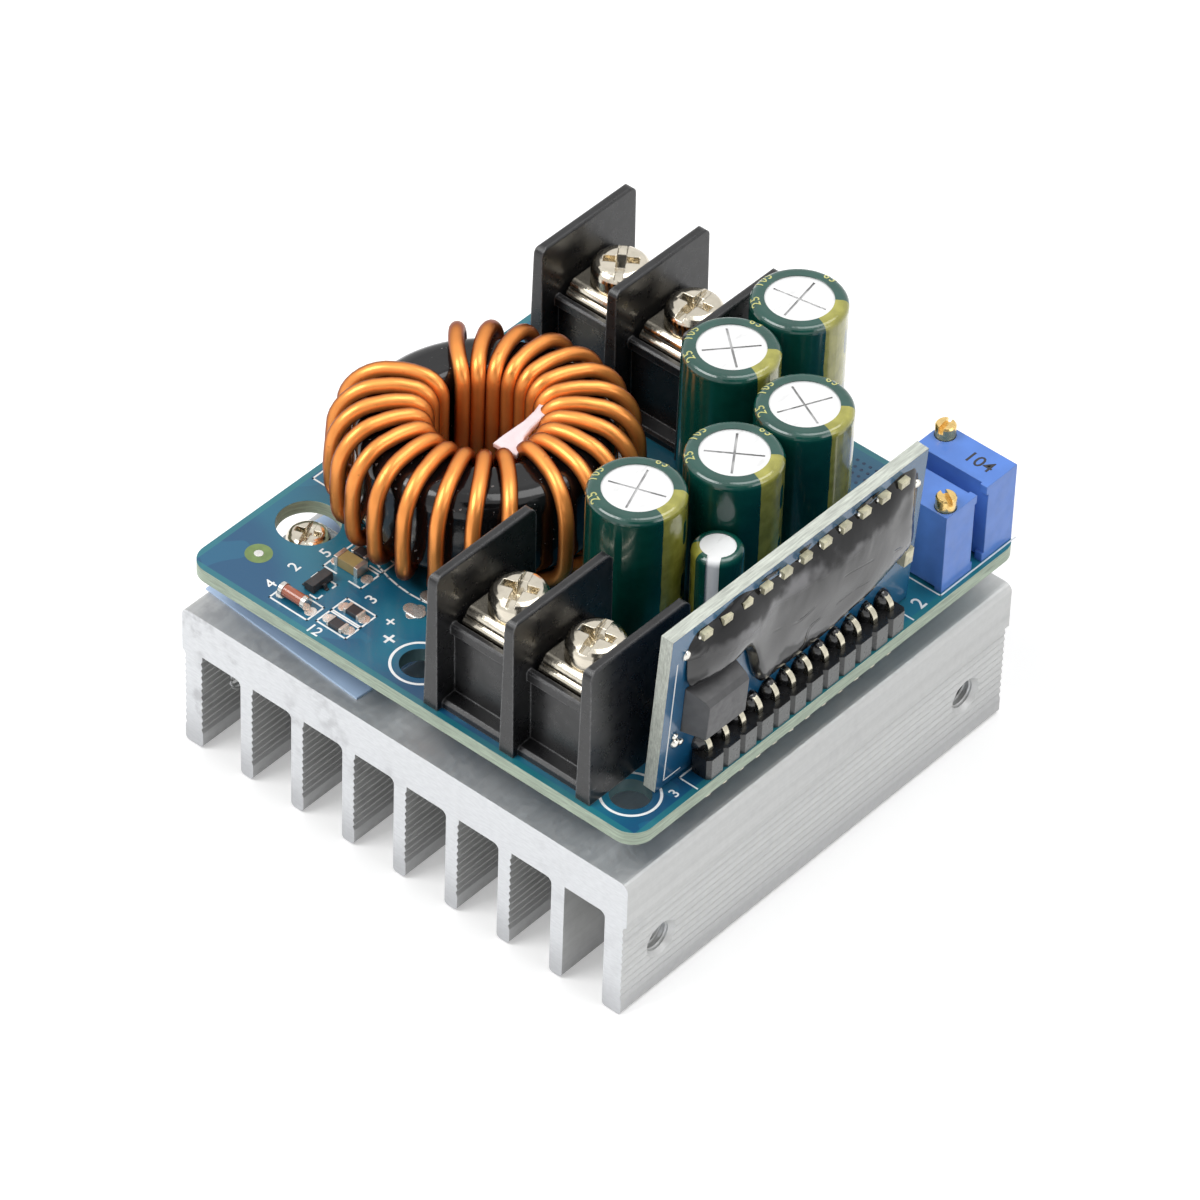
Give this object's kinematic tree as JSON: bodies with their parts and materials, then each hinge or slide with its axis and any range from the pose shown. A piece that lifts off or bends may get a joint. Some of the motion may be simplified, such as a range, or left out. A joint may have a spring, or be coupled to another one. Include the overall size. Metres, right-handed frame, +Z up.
{
  "type": "buck converter module",
  "caption": "Buck converter circuit board on a finned extruded heatsink, with barrier terminals, wound toroid, capacitors, trimmers and a leaning controller board.",
  "frame": {"origin": "centre of the heatsink's fin tips, where the module stands", "axes": "+Z up from the fin tips to the board, +Y along the fins from the input terminal edge to the output terminal edge, +X towards the controller board and trimmers"},
  "size_m": [0.061, 0.0603, 0.0455],
  "materials": {
    "heatsink_aluminium": "natural, satin, cut ends brighter",
    "board_mask": "blue solder mask, gloss",
    "block_plastic": "black moulded plastic, gloss",
    "device_moulding": "black moulding compound, matt",
    "plated_steel": "nickel plated, bright",
    "tinned_metal": "tinned, soft shine",
    "coated_core": "pressed iron powder with glossy black coating",
    "enamelled_wire": "copper wire with clear amber enamel, gloss",
    "can_aluminium": "bright drawn aluminium",
    "green_sleeve": "dark green shrink sleeve with yellow stripes",
    "seal_rubber": "black rubber",
    "trimmer_plastic": "blue moulded plastic, satin",
    "brass": "turned brass",
    "insulating_film": "lilac blue silicone sheet, matt",
    "white_plastic": "white plastic",
    "clear_resin": "clear resin",
    "epoxy": "grey black epoxy, uneven gloss",
    "chip_ceramic": "tan ceramic with tinned ends",
    "resistor_ceramic": "black top with tinned ends",
    "cream_chips": "cream solder and chip ends",
    "diode_glass": "amber red glass with metal ends",
    "adhesive": "pale pink dried adhesive"
  },
  "bodies": {
    "module": {"heatsink": "heatsink_aluminium", "insulator_front": "insulating_film", "insulator_back": "insulating_film", "transistor_case": "device_moulding", "transistor_frame": "tinned_metal", "diode_case": "device_moulding", "diode_frame": "tinned_metal", "insulating_bushes": "white_plastic", "device_screws": "plated_steel", "main_board": "board_mask", "solder_joints": "tinned_metal", "board_pads": "tinned_metal", "input_block": "block_plastic", "output_block": "block_plastic", "input_contacts": "plated_steel", "output_contacts": "plated_steel", "inductor_core": "coated_core", "inductor_winding": "enamelled_wire", "inductor_adhesive": "adhesive", "capacitor_can_small": "can_aluminium", "capacitor_sleeve_small": "green_sleeve", "capacitor_seals": "seal_rubber", "capacitor_leads": "tinned_metal", "controller_board": "board_mask", "header_block": "block_plastic", "header_pins": "tinned_metal", "controller_potting": "epoxy", "power_package": "device_moulding", "controller_chips": "cream_chips", "trimmer_near": "trimmer_plastic", "trimmer_far": "trimmer_plastic", "trimmer_pins": "tinned_metal", "indicator_lamp": "clear_resin", "lamp_leads": "tinned_metal", "chip_capacitor": "chip_ceramic", "chip_resistors": "resistor_ceramic", "small_transistor": "device_moulding", "glass_diode": "diode_glass", "capacitor_can_1": "can_aluminium", "capacitor_sleeve_1": "green_sleeve", "capacitor_can_2": "can_aluminium", "capacitor_sleeve_2": "green_sleeve", "capacitor_can_3": "can_aluminium", "capacitor_sleeve_3": "green_sleeve", "capacitor_can_4": "can_aluminium", "capacitor_sleeve_4": "green_sleeve", "capacitor_can_5": "can_aluminium", "capacitor_sleeve_5": "green_sleeve"},
    "in_minus_clamp": {"clamp_in_minus": "plated_steel"},
    "in_minus_screw": {"screw_in_minus": "plated_steel"},
    "in_plus_clamp": {"clamp_in_plus": "plated_steel"},
    "in_plus_screw": {"screw_in_plus": "plated_steel"},
    "out_plus_clamp": {"clamp_out_plus": "plated_steel"},
    "out_plus_screw": {"screw_out_plus": "plated_steel"},
    "out_minus_clamp": {"clamp_out_minus": "plated_steel"},
    "out_minus_screw": {"screw_out_minus": "plated_steel"},
    "near_adjuster": {"trimmer_screw_near": "brass"},
    "far_adjuster": {"trimmer_screw_far": "brass"}
  },
  "joints": [
    {"name": "in_minus_lift", "type": "slide", "parent": "module", "child": "in_minus_clamp", "axis": [0, 0, 1], "range_m": [0, 0.0031]},
    {"name": "in_minus_turn", "type": "hinge", "parent": "in_minus_clamp", "child": "in_minus_screw", "pos_m": [0.01806, -0.0218, 0.0362], "axis": [0, 0, 1], "range_deg": [0, 1860.5]},
    {"name": "in_plus_lift", "type": "slide", "parent": "module", "child": "in_plus_clamp", "axis": [0, 0, 1], "range_m": [0, 0.0031]},
    {"name": "in_plus_turn", "type": "hinge", "parent": "in_plus_clamp", "child": "in_plus_screw", "pos_m": [0.00806, -0.0218, 0.0362], "axis": [0, 0, 1], "range_deg": [0, 1860.5]},
    {"name": "out_plus_lift", "type": "slide", "parent": "module", "child": "out_plus_clamp", "axis": [0, 0, 1], "range_m": [0, 0.0031]},
    {"name": "out_plus_turn", "type": "hinge", "parent": "out_plus_clamp", "child": "out_plus_screw", "pos_m": [-0.0175, 0.02275, 0.0362], "axis": [0, 0, 1], "range_deg": [0, 1860.5]},
    {"name": "out_minus_lift", "type": "slide", "parent": "module", "child": "out_minus_clamp", "axis": [0, 0, 1], "range_m": [0, 0.0031]},
    {"name": "out_minus_turn", "type": "hinge", "parent": "out_minus_clamp", "child": "out_minus_screw", "pos_m": [-0.0075, 0.02275, 0.0362], "axis": [0, 0, 1], "range_deg": [0, 1860.5]},
    {"name": "near_adjust", "type": "hinge", "parent": "module", "child": "near_adjuster", "pos_m": [0.02838, 0.01965, 0.03453], "axis": [0, 0, 1], "continuous": true},
    {"name": "far_adjust", "type": "hinge", "parent": "module", "child": "far_adjuster", "pos_m": [0.02139, 0.02817, 0.03453], "axis": [0, 0, 1], "continuous": true}
  ],
  "couplings": [
    {"joint": "in_minus_turn", "follows": "in_minus_lift", "rad_per_m": 10472},
    {"joint": "in_plus_turn", "follows": "in_plus_lift", "rad_per_m": 10472},
    {"joint": "out_plus_turn", "follows": "out_plus_lift", "rad_per_m": 10472},
    {"joint": "out_minus_turn", "follows": "out_minus_lift", "rad_per_m": 10472}
  ]
}
